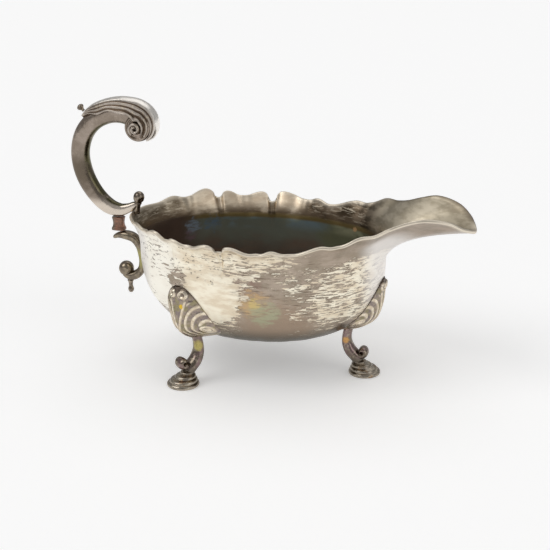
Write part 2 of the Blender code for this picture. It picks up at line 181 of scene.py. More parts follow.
class Finish:
    """A metal finish put together from shader nodes.  Every method adds nodes and gives back their
    output.  Places and distances are in millimetres, and shares go from 0 to 1."""

    def __init__(self, name):
        self.made = bpy.data.materials.new(name)
        self.made.use_nodes = True
        self.tree = self.made.node_tree
        self.shader = self.tree.nodes["Principled BSDF"]
        self.shader.inputs["Metallic"].default_value = 1.0
        metres = self.tree.nodes.new("ShaderNodeTexCoord").outputs["Object"]
        self.place = self.vector("MULTIPLY", metres, (1000.0, 1000.0, 1000.0))
        apart = self.tree.nodes.new("ShaderNodeSeparateXYZ")
        self.put(apart.inputs[0], self.place)
        self.x, self.y, self.z = apart.outputs

    def put(self, socket, value):
        """Links another node's output to a socket, or sets a plain value on it."""
        if isinstance(value, bpy.types.NodeSocket):
            self.tree.links.new(value, socket)
        else:
            socket.default_value = value

    def vector(self, operation, first, second, output="Vector"):
        node = self.tree.nodes.new("ShaderNodeVectorMath")
        node.operation = operation
        self.put(node.inputs[0], first)
        self.put(node.inputs[1], second)
        return node.outputs[output]

    def number(self, operation, first, second=0.0, third=0.0):
        node = self.tree.nodes.new("ShaderNodeMath")
        node.operation = operation
        for socket, value in zip(node.inputs, (first, second, third)):
            self.put(socket, value)
        return node.outputs[0]

    def noise(self, per_mm, detail=4.0, roughness=0.55, bend=0.0, shift=0.0):
        """Cloudy values about 0.5; per_mm is how many features fit in a millimetre each way."""
        node = self.tree.nodes.new("ShaderNodeTexNoise")
        stretched = self.vector("MULTIPLY", self.place, per_mm)
        self.put(node.inputs["Vector"], self.vector("ADD", stretched, (shift, shift, shift)))
        node.inputs["Scale"].default_value = 1.0
        node.inputs["Detail"].default_value = detail
        node.inputs["Roughness"].default_value = roughness
        node.inputs["Distortion"].default_value = bend
        return node.outputs["Fac"]

    def step(self, value, low, high, bottom=0.0, top=1.0):
        """A smooth rise from bottom to top while the value goes from low to high."""
        node = self.tree.nodes.new("ShaderNodeMapRange")
        node.interpolation_type = "SMOOTHSTEP"
        for socket, given in zip(node.inputs, (value, low, high, bottom, top)):
            self.put(socket, given)
        return node.outputs[0]

    def blend(self, share, first, second):
        """The first colour where the share is 0, and the second where it is 1."""
        node = self.tree.nodes.new("ShaderNodeMix")
        node.data_type = "RGBA"
        self.put(node.inputs[0], share)
        self.put(node.inputs[6], first)
        self.put(node.inputs[7], second)
        return node.outputs[2]

    def times(self, first, *others):
        """The product of several shares."""
        for other in others:
            first = self.number("MULTIPLY", first, other)
        return first

    def away(self, value, middle, low, high):
        """A share from how far a value is from a middle one, either way."""
        return self.step(self.number("ABSOLUTE", self.number("ADD", value, -middle)), low, high)

    def mixed(self, value, low, high, first, second):
        """The first colour where the value is at low, going over to the second at high."""
        return self.blend(self.step(value, low, high), first, second)

    def spot(self, centre, radius, ragged=0.4):
        """One at a place on the object, and none beyond a ragged edge round it."""
        reach = self.vector("DISTANCE", self.place, centre, "Value")
        wobble = self.noise((0.35, 0.35, 0.5), 3.0, shift=centre[0])
        reach = self.number("MULTIPLY_ADD", wobble, 2.0 * ragged * radius, reach)
        return self.step(reach, radius * (1.2 + ragged), radius * (0.6 + ragged))

    def mark(self, name):
        """The value that the mesh keeps under a name at each point."""
        node = self.tree.nodes.new("ShaderNodeAttribute")
        node.attribute_name = name
        return node.outputs["Fac"]

    def dents(self, height, depth_mm, after=None):
        """The surface normal tilted as if it rose by the depth where the height goes up by one."""
        node = self.tree.nodes.new("ShaderNodeBump")
        node.inputs["Strength"].default_value = 1.0
        node.inputs["Distance"].default_value = depth_mm * MM
        self.put(node.inputs["Height"], height)
        if after is not None:
            self.put(node.inputs["Normal"], after)
        return node.outputs["Normal"]

    def done(self, colour, roughness, normal):
        """The finished material, with the three linked to its shader."""
        self.put(self.shader.inputs["Base Color"], colour)
        self.put(self.shader.inputs["Roughness"], roughness)
        self.put(self.shader.inputs["Normal"], normal)
        return self.made


# A mirrored point beyond each end of the half rim keeps the curve smooth at the middle.
MIRROR = np.array([1.0, -1.0, 1.0])
mirrored_ends = [MIRROR * RIM[1]] + RIM + [MIRROR * RIM[-2]]
half_rim = smooth_line(mirrored_ends, RIM_STEPS, [notch + 1 for notch in NOTCHES])
half_rim = half_rim[RIM_STEPS:-RIM_STEPS]
rim = np.vstack([half_rim, half_rim[1:-1][::-1] * MIRROR])
rim[:, 1] = np.clip(rim[:, 1], -WIDEST_RIM, WIDEST_RIM)
turn = np.arctan2(rim[:, 1] / BOWL_HALF_WIDTH, (rim[:, 0] - BOWL_MIDDLE_X) / BOWL_HALF_LENGTH)
plan = np.stack([BOWL_HALF_LENGTH * np.cos(turn), BOWL_HALF_WIDTH * np.sin(turn)], axis=1)
# Belly rows: the plan ellipse scaled up a superelliptic profile from the bottom to the neck.
climb = 0.5 * math.pi * (np.arange(1, BELLY_ROWS + 1) / BELLY_ROWS)[:, None] ** BELLY_CROWDING
share = np.sin(climb) ** (2.0 / BELLY_FULLNESS)
height = NECK_Z - (NECK_Z - BOWL_BOTTOM_Z) * np.cos(climb).clip(0.0) ** (2.0 / BELLY_ROUNDNESS)
belly = np.stack(
    [BOWL_MIDDLE_X + plan[:, 0] * share, plan[:, 1] * share, height + 0.0 * plan[:, 0]], axis=-1
)
# Flange rows: a cubic from the neck to just short of the rim.
neck = belly[-1]
run_out = rim[:, :2] - neck[:, :2]
rise = rim[:, 2:] - NECK_Z
beside = np.clip(np.abs(turn) / math.radians(LIP_TROUGH_DEGREES), 0.0, 1.0)[:, None]
lean = FLANGE_LEAN * (3.0 * beside**2 - 2.0 * beside**3)
pull_up = np.hstack([neck[:, :2] + PULL_UP[0] * run_out, NECK_Z + PULL_UP[1] * rise])
pull_out = np.hstack([rim[:, :2] - PULL_OUT * run_out, rim[:, 2:] - lean * rise])
last_leg = 3.0 * np.linalg.norm(rim - pull_out, axis=1)
stop = 1.0 - (0.5 * RIM_THICKNESS + RIM_INSET) / last_leg
s = (np.arange(1, FLANGE_ROWS + 1) / FLANGE_ROWS)[:, None]
t = (s * stop)[:, :, None]
flange = neck * (1 - t) ** 3 + pull_up * 3 * t * (1 - t) ** 2
flange += pull_out * 3 * t**2 * (1 - t) + rim * t**3
outer = np.vstack([belly, flange])
# Distance down from the rim, and how far along the rim each column is from a fold line.
below = np.linalg.norm(outer - rim, axis=2)
along = np.concatenate([[0.0], np.cumsum(np.linalg.norm(np.diff(rim, axis=0), axis=1))])
relief = np.zeros_like(below)
for point, depth, width in FOLDS:
    for column in (point * RIM_STEPS, len(rim) - point * RIM_STEPS):
        apart = (along - along[column]) / width
        relief -= depth * np.exp(-(apart**2)) * np.exp(-((below / FOLD_LENGTH) ** 2))
mean_height = sum(np.roll(rim[:, 2], k) for k in range(-HOLLOW_SPAN, HOLLOW_SPAN + 1)) / (2 * HOLLOW_SPAN + 1)
dip = np.clip(rim[:, 2] - mean_height, -HOLLOW_DIP, 0.0)
relief += HOLLOW * dip * np.exp(-((below / HOLLOW_LENGTH) ** 2))
# Hammer work leaves the sheet very slightly uneven: two slow waves round it and up it.
from_middle = outer[..., 0] - BOWL_MIDDLE_X
angle = np.arctan2(outer[..., 1], from_middle)
off_centre = np.clip(np.hypot(from_middle, outer[..., 1]) / HAMMER_FULL_AT, 0.0, 1.0) ** 2
broad = np.sin(9.0 * angle + 0.21 * outer[..., 2]) * np.sin(0.26 * outer[..., 2] + 3.0 * angle)
narrow = np.sin(23.0 * angle - 0.4 * outer[..., 2])
relief += (HAMMER_WAVES[0] * broad + HAMMER_WAVES[1] * narrow) * off_centre
relief += EDGE_SWELL * np.exp(-((below / EDGE_SWELL_LENGTH) ** 2))
normal = outward(outer)
outer = outer + normal * relief[..., None]
normal = outward(outer)
sheet = SHEET + (RIM_THICKNESS - SHEET) * np.exp(-((below / THICKENING_LENGTH) ** 2))
inner = outer - normal * sheet[..., None]
edge_middle = 0.5 * (outer[-1] + inner[-1])
edge_up = unit(np.gradient(outer, axis=0)[-1])
roll = np.radians(EDGE_ROLL_DEGREES)[:, None, None]
edge = edge_middle + 0.5 * RIM_THICKNESS * (np.cos(roll) * normal[-1] + np.sin(roll) * edge_up)
bowl_grid = np.concatenate([outer, edge, inner[::-1]])
near_rim = np.exp(-((below / RUBBED_LENGTH) ** 2))
up_flange = np.concatenate([np.zeros((BELLY_ROWS, len(rim))), s + np.zeros_like(t[..., 0])])
edge_like = np.ones((len(roll), len(rim)))
bowl_marks = {
    "inside": np.concatenate([0 * below, 0.5 * edge_like, 0 * below + 1.0]),
    "rim_edge": np.concatenate([near_rim, edge_like, near_rim[::-1]]),
    "flange": np.concatenate([up_flange, edge_like, up_flange[::-1]]),
}

look = Finish("worn_raised_silver")
inside = look.mark("inside")
outside = look.number("SUBTRACT", 1.0, inside)
rim_edge = look.mark("rim_edge")
high_up = look.mark("flange")
# Tarnish stays wherever a streaky noise rises above a limit.  The limit is high on the handle half,
# lower near the bottom and on the flange by the lip, and shifted about a few places on the near side.
flakes = look.noise((0.20, 0.20, 1.05), 6.0, 0.66, 0.4)
patches = look.noise((0.05, 0.05, 0.08), 2.0, 0.5, shift=7.0)
wear = look.number("MULTIPLY_ADD", flakes, 0.78, look.number("MULTIPLY", patches, 0.22))
limit = look.step(look.x, 4.0, -22.0, 0.515, 0.595)
limit = look.number("ADD", limit, look.step(look.z, 38.0, 30.0, 0.0, -0.11))
limit = look.number("ADD", limit, look.step(look.z, 25.0, 20.0, 0.0, -0.2))
by_lip = look.times(look.step(look.x, 16.0, 38.0), look.step(high_up, 0.22, 0.42))
limit = look.number("MULTIPLY_ADD", by_lip, -0.2, limit)
clean = look.spot((-15.0, -39.0, 47.0), 14.0)
limit = look.number("MULTIPLY_ADD", clean, 0.20, limit)
for centre, radius, shift in (
    ((8.0, -37.0, 37.0), 13.0, -0.16),
    ((-31.7, -36.1, 50.9), 6.0, -0.14),
    ((10.0, -41.0, 50.0), 9.0, -0.06),
    ((19.0, -39.5, 50.0), 13.0, -0.06),
):
    limit = look.number("MULTIPLY_ADD", look.spot(centre, radius), shift, limit)
EDGE_BLUR = 0.012
tarnished = look.step(wear, look.number("ADD", limit, -EDGE_BLUR), look.number("ADD", limit, EDGE_BLUR))
# The tarnish is thickest in a thin broken fringe along its own edge.
fringe = look.number("ABSOLUTE", look.number("SUBTRACT", wear, look.number("ADD", limit, 0.014)))
fringe = look.times(look.step(fringe, 0.016, 0.004), look.step(look.noise((0.1, 0.1, 0.2), 3.0), 0.45, 0.6))
# Outside: cream where it is worn bright, grey-brown where it is tarnished, and darker towards the bottom with
# painted shade.
mottle = look.noise((0.12, 0.12, 0.3), 4.0, 0.6, shift=3.0)
cream = look.mixed(mottle, 0.35, 0.65, tone(254, 246, 226), tone(232, 217, 192))
cream = look.blend(look.step(look.x, -26.0, -38.0, 0.0, 0.8), cream, tone(255, 252, 242))
brown = look.mixed(mottle, 0.38, 0.62, tone(158, 145, 129), tone(178, 163, 148))
brown = look.blend(look.spot((14.0, -34.0, 31.0), 18.0), brown, tone(164, 145, 127))
colour = look.blend(tarnished, cream, brown)
colour = look.blend(fringe, colour, tone(112, 98, 86))
# Painted shade: the bottom of the bowl is darkened where it faces the shadowed floor.
colour = look.mixed(look.z, 33.0, 22.5, colour, tone(94, 86, 72))
# One stained place, violet-brown above, then amber, yellow and olive.
streaks = look.step(look.noise((0.14, 0.14, 0.55), 5.0, 0.62, 0.5, 11.0), 0.40, 0.54, 0.15, 1.0)
on_tarnish = look.step(tarnished, 0.0, 1.0, 0.15, 0.9)
for centre, radius, shade in (
    ((2.4, -41.5, 52.2), 7.0, tone(150, 128, 116)),
    ((4.8, -40.9, 44.6), 7.5, tone(198, 168, 128)),
    ((9.6, -39.2, 39.6), 7.0, tone(170, 170, 142)),
    ((5.4, -40.4, 45.6), 3.0, tone(208, 186, 128)),
):
    colour = look.blend(look.times(look.spot(centre, radius, 0.7), on_tarnish, streaks), colour, shade)
# Both ends are rubbed white: the wall by the handle, and the throat under the lip.
colour = look.blend(look.step(look.x, -48.0, -54.0, 0.0, 0.75), colour, tone(226, 221, 215))
by_throat = look.times(look.step(look.x, 47.0, 55.0, 0.0, 0.8), look.step(high_up, 0.75, 0.45))
colour = look.blend(by_throat, colour, tone(248, 244, 240))
# Dark pits in clusters high on the handle half, and fine level scratches over the middle.
pits = look.times(
    look.step(look.noise((0.5, 0.5, 1.0), 3.0, 0.55), 0.61, 0.65),
    look.step(look.x, 2.0, -14.0, 0.0, 0.85),
    look.step(look.noise((0.09, 0.09, 0.12), 2.0, shift=4.0), 0.46, 0.58),
    look.step(look.z, 48.0, 55.0),
)
colour = look.blend(pits, colour, tone(84, 72, 62))
scratches = look.times(
    look.step(look.noise((0.13, 0.13, 1.7), 5.0, 0.62, 0.3, 9.0), 0.57, 0.64, 0.0, 0.75),
    look.away(look.x, 8.0, 42.0, 28.0),
    look.number("SUBTRACT", 1.0, clean),
    look.step(look.z, 33.0, 42.0),
    look.step(high_up, 0.8, 0.5),
)
colour = look.blend(scratches, colour, tone(118, 104, 90))
# The rim's edge is rubbed bright, but for the far side of the lip.
far_lip = look.times(look.step(look.x, 46.0, 56.0), look.step(look.y, 2.0, 8.0))
rim_tone = look.blend(far_lip, tone(226, 215, 197), tone(112, 101, 88))
colour = look.blend(rim_edge, colour, rim_tone)
# Inside: a dark film, brown low down and at both ends and grey-green under the flange, with a painted blue
# reflection band and a painted pale highlight below the flange.
bloom = look.noise((0.06, 0.06, 0.10), 3.0, 0.5, 0.2, 5.0)
deep = look.mixed(bloom, 0.4, 0.6, tone(122, 102, 88), tone(106, 94, 84))
upper = look.step(look.number("MULTIPLY_ADD", bloom, 16.0, look.z), 51.0, 62.0)
deep = look.blend(upper, deep, tone(126, 132, 120))
# Painted reflection: a lighter blue band high on the far wall, broken up by the bloom.
blue = look.times(look.step(look.z, 53.0, 59.0), look.step(bloom, 0.56, 0.44))
deep = look.blend(blue, deep, tone(132, 152, 158))
olive = look.times(look.step(look.number("MULTIPLY_ADD", bloom, 40.0, look.x), 24.0, 44.0), upper)
deep = look.blend(olive, deep, tone(122, 126, 100))
# Painted highlight: a pale sheen under the flange in the middle of the far wall.
sheen = look.times(look.step(look.z, 54.5, 58.5), look.step(look.x, -8.0, 12.0), look.step(bloom, 0.40, 0.58))
deep = look.blend(sheen, deep, tone(168, 170, 140))
deep = look.mixed(look.z, 59.4, 60.8, deep, tone(128, 112, 74))
deep = look.mixed(look.x, -40.0, -52.0, deep, tone(100, 84, 74))
deep = look.mixed(look.x, 36.0, 50.0, deep, tone(92, 74, 60))
# Small ragged painted glints, reflections of the window light on the film: two blue, one violet and one
# orange.
broken = look.step(flakes, 0.40, 0.56, 0.2, 0.9)
for centre, radius, shade in (
    ((-45.5, 26.2, 56.6), 4.0, tone(150, 168, 186)),
    ((-46.5, 25.6, 52.0), 3.0, tone(132, 112, 118)),
    ((-36.0, 30.0, 57.0), 5.0, tone(112, 136, 156)),
    ((35.0, 31.4, 60.2), 1.3, tone(236, 190, 140)),
):
    deep = look.blend(look.times(look.spot(centre, radius, 0.9), broken), deep, shade)
# The flange's inner face: bright along the middle scallops, dull by the handle, dark and mottled
# towards the lip, then pale again down the lip itself.
high = look.mixed(mottle, 0.36, 0.64, tone(255, 238, 212), tone(222, 202, 176))
dull = look.mixed(mottle, 0.36, 0.64, tone(142, 130, 112), tone(106, 94, 78))
high = look.mixed(look.x, -38.0, -54.0, high, dull)
dark = look.mixed(mottle, 0.4, 0.6, tone(120, 106, 90), tone(70, 60, 48))
high = look.mixed(look.x, 1.0, 10.0, high, dark)
lip_pale = look.mixed(mottle, 0.36, 0.64, tone(208, 197, 176), tone(176, 165, 144))
high = look.mixed(look.x, 38.0, 56.0, high, lip_pale)
lip_end = look.mixed(mottle, 0.36, 0.64, tone(184, 173, 152), tone(150, 139, 120))
high = look.mixed(look.x, 72.0, 86.0, high, lip_end)
flecks = look.times(
    look.step(flakes, 0.52, 0.60, 0.0, 0.6),
    look.step(look.x, 44.0, 36.0),
    look.away(look.x, -20.0, 24.0, 32.0),
)
high = look.blend(flecks, high, tone(206, 194, 174))
stained = look.times(
    look.step(look.z, 67.5, 62.5), look.step(mottle, 0.36, 0.58, 0.35, 0.95), look.step(look.x, 40.0, 30.0)
)
high = look.blend(stained, high, tone(122, 106, 88))
above = look.step(look.z, 61.4, 63.2)
deep = look.blend(above, deep, high)
deep = look.blend(rim_edge, deep, rim_tone)
colour = look.mixed(inside, 0.4, 0.6, colour, deep)
# The film inside hides part of the metal and is glossier than the worn silver.
film_inside = look.times(inside, look.step(above, 1.0, 0.0))
look.put(look.shader.inputs["Metallic"], look.step(film_inside, 0.0, 1.0, 1.0, 0.45))
gloss = look.number("MULTIPLY_ADD", look.times(tarnished, outside), -0.10, 0.34)
gloss = look.number("MULTIPLY_ADD", look.times(mottle, outside), 0.12, gloss)
gloss = look.number("MULTIPLY_ADD", inside, look.step(above, 0.0, 1.0, -0.12, 0.06), gloss)
fine = look.noise((0.9, 0.9, 2.6), 4.0, 0.65)
fine = look.number("MULTIPLY_ADD", tarnished, -0.6, fine)
surface = look.dents(look.times(fine, outside), 0.10)
surface = look.dents(look.noise((0.10, 0.10, 0.10), 1.0), 0.35, surface)
worn_silver = look.done(colour, gloss, surface)
add_piece("raised_bowl", [(bowl_grid, bowl_marks)], worn_silver, "bowl")

# ---------------------------------------------------------------- shell knees
# Each leg meets the bowl under a cast silver shell, soldered to the wall.  Twin curls sit at its top,
# a plain pointed panel runs down its middle, and ribs sweep down both sides into ear scrolls.
LEG_AXIS_X = -1.6
# Direction in degrees, distance out to the foot's middle, scale of the shell's depth, and the
# knuckle's middle out from the foot's and above the floor.
LEGS = {
    "front": (0.0, 49.0, 1.0, (-1.1, 10.9)),
    "rear_left": (129.0, 46.0, 1.25, (0.2, 11.3)),
    "rear_right": (-129.0, 46.0, 1.25, (0.2, 11.3)),
}
SHELL_EDGE = 0.4
SHELL_KEEL = 1.6
# Share of the half-width over which the ornament fades out to the edge.
SHELL_FADE = 0.06
RELIEF_HEIGHT = 0.85
GROUND_DEPTH = 0.45
# The side swells at the ear scrolls: by how much, at what height, over what distance.
EAR_SWELL = (0.9, 28.2, 2.2)
# Height, half-width and depth out from the wall.
SHELL = [
    (22.3, 4.2, 7.6), (24.3, 8.2, 7.9), (26.5, 10.8, 7.7), (29.5, 11.6, 6.7), (34.0, 11.3, 4.9),
    (39.0, 9.9, 3.2), (43.2, 7.6, 2.2), (46.4, 5.2, 1.7), (48.2, 2.6, 1.3),
]
# The plain panel: height of its foot, its length, and its half-width at the top.
PANEL = (26.5, 15.5, 3.7)
POINT_RIB_HALF_WIDTH = 0.6
RIB_TOP_Z = 43.0
RIB_PITCH = 2.3
# Places, as distance to the side and height: the middle that the ribs sweep about, the ear scroll's
# middle and the top curl's middle.
RIB_MIDDLE = (10.6, 28.6)
EAR = (9.4, 28.4)
EAR_RADIUS = 2.0
CURL = (2.7, 45.0)
CURL_RADIUS = 1.5


def wall_distance(direction, side, z):
    """How far the bowl's outer wall is from the legs' axis: the larger root of the ellipse's
    equation along the leg's direction, at a sideways offset and a height."""
    drop = (NECK_Z - z) / (NECK_Z - BOWL_BOTTOM_Z)
    scale = (1.0 - drop**BELLY_ROUNDNESS) ** (1.0 / BELLY_FULLNESS)
    a, b = BOWL_HALF_LENGTH * scale, BOWL_HALF_WIDTH * scale
    c, n = math.cos(direction), math.sin(direction)
    x0, y0 = LEG_AXIS_X - BOWL_MIDDLE_X - side * n, side * c
    square = (c / a) ** 2 + (n / b) ** 2
    half = x0 * c / a**2 + y0 * n / b**2
    return (-half + np.sqrt(half**2 - square * ((x0 / a) ** 2 + (y0 / b) ** 2 - 1.0))) / square


def shell_relief(side, z):
    """Height of the chased ornament, in shares of its relief, over the shell's face.  It is the
    largest of two ribs that meet in a point, a cosine of the distance from the ribs' middle
    outside them, a round ring for each curl at the top and a grooved knob for each ear scroll."""
    q = np.abs(side)
    panel = PANEL[2] * np.clip((z - PANEL[0]) / PANEL[1], 0.0, 1.0)
    point_rib = np.exp(-(((q - panel) / POINT_RIB_HALF_WIDTH) ** 2))
    point_rib = point_rib * np.clip((RIB_TOP_Z + 0.5 - z) / 1.5, 0.0, 1.0)
    # The ribs' rings are drawn out upwards and squeezed below their middle.
    stretch = np.where(z > RIB_MIDDLE[1], 0.62, 1.35)
    reach = np.hypot(q - RIB_MIDDLE[0], stretch * (z - RIB_MIDDLE[1]))
    ribs = (0.5 + 0.5 * np.cos(2 * math.pi * (reach - 0.6) / RIB_PITCH)) ** 1.2
    ribs = ribs * np.clip((q - panel - 0.5) / 0.9, 0.0, 1.0) * np.clip((RIB_TOP_Z - z) / 2.0, 0.0, 1.0)
    ring = np.hypot(q - CURL[0], z - CURL[1])
    curls = 1.3 * np.exp(-(((ring - CURL_RADIUS) / 0.65) ** 2))
    ear = np.hypot(q - EAR[0], z - EAR[1])
    scroll = 1.5 * np.exp(-((ear / EAR_RADIUS) ** 4)) - 0.9 * np.exp(-(((ear - 1.1) / 0.35) ** 2))
    ribs = 0.85 * ribs * np.clip(ear - 1.9, 0.0, 1.0)
    return np.maximum.reduce([point_rib, ribs, curls, scroll])


look = Finish("cast_shell_silver")
ridge = look.step(look.mark("ridge"), 0.25, 0.75)
worn = look.noise((0.5, 0.5, 0.5), 4.0, 0.6)
groove = look.mixed(worn, 0.4, 0.6, tone(138, 126, 122), tone(166, 152, 138))
crest = look.mixed(worn, 0.35, 0.6, tone(244, 232, 210), tone(216, 200, 176))
olive = look.step(look.noise((0.28, 0.28, 0.28), 2.0, shift=6.0), 0.46, 0.60, 0.0, 0.7)
groove = look.blend(olive, groove, tone(148, 140, 104))
colour = look.blend(ridge, groove, crest)
curl_colour = look.blend(ridge, tone(110, 98, 88), tone(214, 202, 184))
colour = look.mixed(look.z, 43.0, 46.5, colour, curl_colour)
colour = look.blend(look.spot((-30.0, -38.4, 39.3), 1.3, 0.1), colour, tone(226, 190, 70))
surface = look.dents(look.noise((1.1, 1.1, 1.1), 4.0, 0.6), 0.15)
shell_finish = look.done(colour, look.step(worn, 0.3, 0.7, 0.22, 0.36), surface)

table = smooth_line(SHELL, 12)
across = np.linspace(-1.0, 1.0, 97)
for leg, (degrees, reach, proud, knuckle) in LEGS.items():
    direction = math.radians(degrees)
    z = table[:, 0:1] + 0.0 * across
    swell = EAR_SWELL[0] * np.exp(-(((table[:, 0:1] - EAR_SWELL[1]) / EAR_SWELL[2]) ** 2))
    side = (table[:, 1:2] + swell) * across
    back = wall_distance(direction, side, z)
    raised = shell_relief(side, z)
    crown = 1.0 - np.abs(across) ** SHELL_KEEL
    taper = np.clip((1.0 - np.abs(across)) / SHELL_FADE, 0.0, 1.0)
    front = back + SHELL_EDGE + (table[:, 2:3] * proud - SHELL_EDGE) * crown
    front += (RELIEF_HEIGHT * raised - GROUND_DEPTH) * taper
    out = np.hstack([front, back[:, ::-1]])
    side, z = np.hstack([side, side[:, ::-1]]), np.hstack([z, z])
    x = LEG_AXIS_X + out * math.cos(direction) - side * math.sin(direction)
    y = out * math.sin(direction) + side * math.cos(direction)
    marks = {"ridge": np.hstack([raised, 0.0 * raised])}
    grid = np.stack([x, y, z], axis=-1)
    add_piece(leg + "_shell", [(grid, marks)], shell_finish, leg + "_shell_knee")

# ---------------------------------------------------------------- leg scrolls
# Under each shell a cast scroll leg bends in and out again, and ends over the foot in a rolled
# knuckle.  The castings are dark with tarnish, with violet and yellow sheen where they were rubbed.
# Distance out from the foot's middle, height and half-depth of the shaft, from the shell down.
SHAFT = [
    (-7.6, 23.4, 2.1), (-8.6, 18.4, 2.2), (-8.4, 14.6, 2.5), (-6.8, 11.0, 2.8), (-4.4, 8.4, 2.8),
    (-2.7, 6.0, 2.5),
]
SHAFT_WIDTH_RATIO = 1.22
SHAFT_ENDS_Z = (5.2, 23.2)
SQUARISH = 2.3
# The knuckle's coil: radius and half-depth shrink and the half-width grows from its start to its end.
COIL_TURN = (-170.0, 170.0)
COIL_RADIUS = (2.2, 0.9)
COIL_DEPTH = (1.7, 1.0)
COIL_HALF_WIDTH = (2.7, 3.5)
COIL_STEPS = 90


def tube(path, half_widths, sides, squareness=2.0):
    """Sections square to a path in the x-z plane, as rows round it.  The path's third value is the
    half-depth; each section is a superellipse, and a squareness of 2 makes it an ellipse."""
    path = np.array(path, float)
    ahead = unit(np.gradient(path[:, :2], axis=0))
    around = 2 * math.pi * np.arange(sides) / sides
    c, n = np.cos(around), np.sin(around)
    c = np.sign(c) * np.abs(c) ** (2.0 / squareness)
    n = np.sign(n) * np.abs(n) ** (2.0 / squareness)
    deep = path[:, 2:3] * c
    wide = np.asarray(half_widths).reshape(-1, 1) * n
    x = path[:, 0:1] - ahead[:, 1:2] * deep
    z = path[:, 1:2] + ahead[:, 0:1] * deep
    return np.stack([x, wide, z], axis=-1)


def rounded(path, reach):
    """Shares from 0 to 1 that close a path's two ends in quarter circles of a given reach."""
    length = np.concatenate([[0.0], np.cumsum(np.linalg.norm(np.diff(path[:, :2], axis=0), axis=1))])
    left = np.minimum(length, length[-1] - length) / reach
    return np.sqrt(np.clip(1.0 - (1.0 - np.clip(left, 0.0, 1.0)) ** 2, 0.02, 1.0))


def spiral(middle, turn, radii, depths, steps):
    """A coil in the x-z plane: its radius and its half-depth change evenly from the first to the
    second of each pair as it turns from the first angle to the second, in degrees."""
    angle = np.radians(np.linspace(*turn, steps))
    radius = np.linspace(*radii, steps)
    x = middle[0] + radius * np.cos(angle)
    z = middle[1] + radius * np.sin(angle)
    return np.stack([x, z, np.linspace(*depths, steps)], axis=1)


def stood(grid, direction, distance):
    """A leg's grid, drawn about the foot's middle, turned to its direction and set at its place."""
    c, n = math.cos(direction), math.sin(direction)
    x, y, z = np.moveaxis(grid, -1, 0)
    out = x + distance
    return np.stack([LEG_AXIS_X + out * c - y * n, out * n + y * c, z], axis=-1)


look = Finish("dark_leg_silver")
cloud = look.noise((0.22, 0.22, 0.22), 4.0, 0.6)
worn = look.noise((0.8, 0.8, 0.8), 4.0, 0.6)
colour = look.mixed(cloud, 0.4, 0.62, tone(118, 108, 96), tone(140, 120, 118))
colour = look.mixed(worn, 0.52, 0.66, colour, tone(172, 160, 142))
colour = look.mixed(look.z, 9.5, 7.0, colour, tone(112, 104, 94))
gold = look.times(look.spot((-24.6, -31.2, 18.6), 2.8, 0.5), 0.7)
colour = look.blend(gold, colour, tone(192, 180, 104))
amber = look.times(look.spot((38.6, -2.0, 16.8), 1.8, 0.7), 0.8)
colour = look.blend(amber, colour, tone(206, 156, 92))
surface = look.dents(look.noise((0.4, 0.4, 0.4), 3.0, 0.5), 0.14)
leg_finish = look.done(colour, look.step(worn, 0.3, 0.7, 0.16, 0.30), surface)

shaft_path = smooth_line(SHAFT, 12)
shaft = tube(shaft_path, shaft_path[:, 2] * SHAFT_WIDTH_RATIO, 32, SQUARISH)
shaft[..., 2] = shaft[..., 2].clip(*SHAFT_ENDS_Z)
for leg, (degrees, reach, proud, knuckle) in LEGS.items():
    direction = math.radians(degrees)
    coil_path = spiral(knuckle, COIL_TURN, COIL_RADIUS, COIL_DEPTH, COIL_STEPS)
    coil_width = np.linspace(*COIL_HALF_WIDTH, COIL_STEPS) * rounded(coil_path, 1.4)
    coil_path[:, 2] *= rounded(coil_path, 1.0)
    coil = tube(coil_path, coil_width, 28, SQUARISH)
    grids = [(stood(shaft, direction, reach), {}), (stood(coil, direction, reach), {})]
    add_piece(leg + "_leg", grids, leg_finish, leg + "_leg_scroll")

# ---------------------------------------------------------------- feet
# Each leg stands on a cast silver hoof of three rounded steps, set back one over another towards
# the ankle, with a small ring on top.  The steps are polished dark by handling and by the table.
# Radius, shift of its middle towards the ankle, and height, from the underside up.
FOOT_PROFILE = [
    (5.0, 0.0, 0.0), (7.0, 0.0, 0.0), (7.5, 0.0, 0.55), (7.45, 0.0, 1.3), (7.0, -0.1, 1.85),
    (6.5, -0.2, 2.0), (6.45, -0.4, 2.6), (6.1, -0.6, 3.2), (5.3, -1.0, 3.6), (4.9, -1.2, 3.8),
    (4.8, -1.4, 4.4), (4.3, -1.7, 4.9), (3.4, -2.1, 5.15), (3.0, -2.3, 5.4), (3.3, -2.4, 5.8),
    (3.2, -2.5, 6.2), (2.4, -2.5, 6.5), (1.0, -2.5, 6.6),
]
FOOT_SIDES = 64
radius, shift, z = smooth_line(FOOT_PROFILE, 4).T[..., None]
around = 2 * math.pi * np.arange(FOOT_SIDES) / FOOT_SIDES
foot = np.stack(
    [shift + radius * np.cos(around), radius * np.sin(around), z.clip(0.0) + 0.0 * around], axis=-1
)
look = Finish("polished_foot_silver")
worn = look.noise((0.4, 0.4, 0.9), 4.0, 0.6)
colour = look.mixed(worn, 0.36, 0.64, tone(142, 133, 122), tone(180, 170, 154))
rusty = look.noise((0.25, 0.25, 0.25), 3.0, shift=9.0)
colour = look.mixed(rusty, 0.56, 0.68, colour, tone(150, 128, 104))
surface = look.dents(look.noise((0.4, 0.4, 0.8), 3.0, 0.5), 0.12)
foot_finish = look.done(colour, look.step(worn, 0.3, 0.7, 0.16, 0.30), surface)
for leg, (degrees, reach, proud, knuckle) in LEGS.items():
    grid = stood(foot, math.radians(degrees), reach)
    add_piece(leg + "_foot", [(grid, {})], foot_finish, leg + "_hoof_foot")

